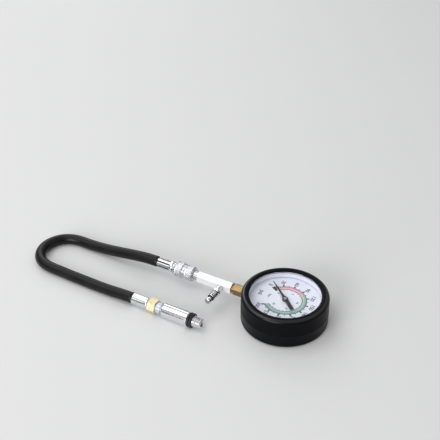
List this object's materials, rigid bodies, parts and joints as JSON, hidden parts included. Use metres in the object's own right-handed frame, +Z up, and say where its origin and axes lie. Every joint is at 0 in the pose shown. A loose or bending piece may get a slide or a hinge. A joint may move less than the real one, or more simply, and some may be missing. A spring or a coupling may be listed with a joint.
{
  "type": "compression tester gauge",
  "caption": "Engine compression tester: dial gauge in a rubber boot, hexagonal block with release valve, quick coupler, and a rubber hose ending in a spark plug thread.",
  "frame": {"origin": "on the pointer's axis, on the plane of the boot's back, which lies on the table", "axes": "+Z up out of the dial, +X to twelve o'clock on the dial, the stem leaves the case towards -X"},
  "size_m": [0.2992, 0.0978, 0.03],
  "materials": {
    "boot_rubber": "satin moulded rubber",
    "case_steel": "black painted sheet",
    "polished_steel": "bright plated",
    "lens_clear": "clear",
    "white_plastic": "matt",
    "dial_white": "matt enamel",
    "pointer_black": "matt black",
    "inner_steel": "turned",
    "brass": "turned",
    "chrome": "bright chrome",
    "satin_aluminium": "satin",
    "hose_rubber": "smooth hose rubber",
    "seal_rubber": "smooth",
    "yellow_zinc": "yellow zinc plate",
    "blue_zinc": "blue zinc plate"
  },
  "bodies": {
    "gauge": {"boot": "boot_rubber", "case_cup": "case_steel", "bezel_ring": "polished_steel", "lens": "lens_clear", "lens_gasket": "white_plastic", "dial_spacer_ring": "white_plastic", "dial_plate": "dial_white", "stop_pin": "pointer_black", "hairspring": "brass", "hairspring_stud": "brass", "movement_front_plate": "brass", "plate_screws": "inner_steel", "movement_pillars": "brass", "bourdon_tube": "brass", "movement_back_plate": "brass", "movement_screws": "inner_steel", "socket_stem": "brass", "socket_screws": "inner_steel", "manifold_block": "satin_aluminium", "valve_body": "chrome", "valve_spring": "inner_steel", "coupler_body": "chrome", "coupler_seal": "seal_rubber", "locking_balls": "inner_steel", "sleeve_spring": "inner_steel", "sleeve_snap_ring": "inner_steel"},
    "sector": {"sector_gear": "brass", "sector_arbor": "inner_steel", "link_pin": "inner_steel"},
    "pointer": {"pinion_arbor": "inner_steel", "pointer": "pointer_black", "pointer_bush": "pointer_black"},
    "tube_tip": {"tube_tip": "brass", "tip_pin": "inner_steel", "link": "brass"},
    "release_button": {"valve_plunger": "inner_steel", "valve_seal": "seal_rubber", "valve_button": "chrome"},
    "sleeve": {"coupler_sleeve": "chrome"},
    "hose": {"hose_plug": "polished_steel", "near_ferrule": "polished_steel", "hose": "hose_rubber", "far_ferrule": "polished_steel", "end_fitting": "yellow_zinc", "zinc_collar": "blue_zinc", "adapter_tube": "chrome", "seal_rings": "seal_rubber", "check_valve_body": "brass", "check_valve_spring": "inner_steel"},
    "check_pin": {"check_valve_pin": "brass", "check_valve_seal": "seal_rubber"}
  },
  "joints": [
    {"name": "sector_swing", "type": "hinge", "parent": "gauge", "child": "sector", "pos_m": [0, -0.016, 0.0125], "axis": [0, 0, 1], "range_deg": [0, 39.28], "stiffness_Nm_per_rad": 0.02, "springref_deg": -2.86},
    {"name": "pointer_turn", "type": "hinge", "parent": "gauge", "child": "pointer", "pos_m": [0, 0, 0.0125], "axis": [0, 0, 1], "range_deg": [-275, 0], "deforming": ["hairspring"]},
    {"name": "tip_travel", "type": "slide", "parent": "gauge", "child": "tube_tip", "axis": [0, -1, 0], "range_m": [0, 0.00303], "deforming": ["bourdon_tube"]},
    {"name": "release_press", "type": "slide", "parent": "gauge", "child": "release_button", "axis": [0, 1, 0], "range_m": [0, 0.002], "stiffness_N_per_m": 400, "springref_m": -0.004, "deforming": ["valve_spring"]},
    {"name": "sleeve_slide", "type": "slide", "parent": "gauge", "child": "sleeve", "axis": [1, 0, 0], "range_m": [0, 0.0035], "stiffness_N_per_m": 800, "springref_m": -0.003, "deforming": ["sleeve_spring"]},
    {"name": "hose_swivel", "type": "hinge", "parent": "gauge", "child": "hose", "pos_m": [-0.105, 0, 0.0145], "axis": [1, 0, 0], "continuous": true},
    {"name": "check_pin_slide", "type": "slide", "parent": "hose", "child": "check_pin", "axis": [-1, 0, 0], "range_m": [0, 0.0012], "stiffness_N_per_m": 250, "springref_m": -0.002, "deforming": ["check_valve_spring"]}
  ],
  "couplings": [
    {"joint": "pointer_turn", "follows": "sector_swing", "ratio": -7},
    {"joint": "tip_travel", "follows": "sector_swing", "m_per_rad": 0.0044125}
  ]
}
